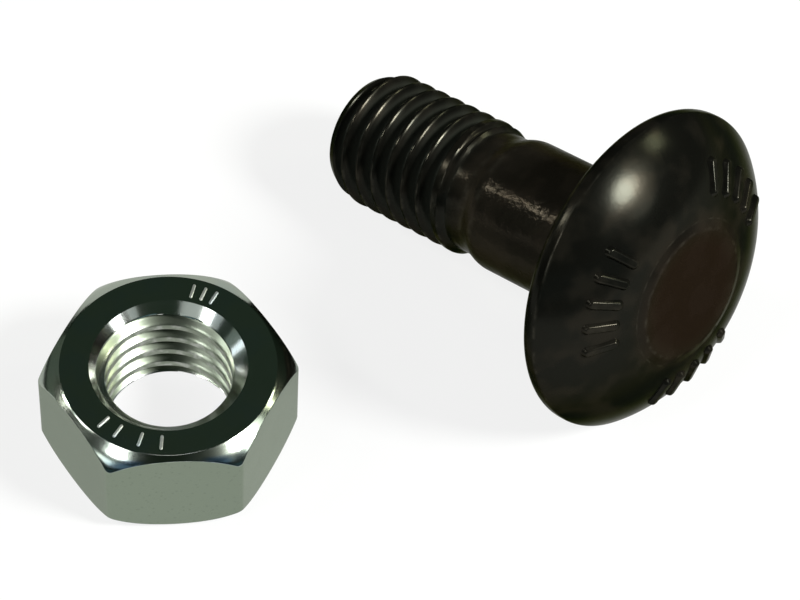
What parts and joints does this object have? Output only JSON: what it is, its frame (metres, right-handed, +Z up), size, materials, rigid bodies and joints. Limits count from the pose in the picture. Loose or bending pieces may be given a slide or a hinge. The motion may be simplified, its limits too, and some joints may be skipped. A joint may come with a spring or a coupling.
{
  "type": "bolt with nut",
  "caption": "Dome head bolt with a flat pad on the dome, plain shank and metric thread at its end, lying beside its plain hexagon nut.",
  "frame": {"origin": "on the floor, at the middle of the ground that the bolt and the nut cover together", "axes": "+Z up from the floor and along the nut's axis; +X from the nut towards the bolt's head, across the view; +Y away from the viewer"},
  "size_m": [0.0597, 0.0419, 0.0272],
  "materials": {
    "black_steel": "black oxide, oiled, glossy",
    "zinc_steel": "bright zinc plate"
  },
  "bodies": {
    "root": {"bolt": "black_steel", "nut": "zinc_steel"}
  },
  "joints": []
}
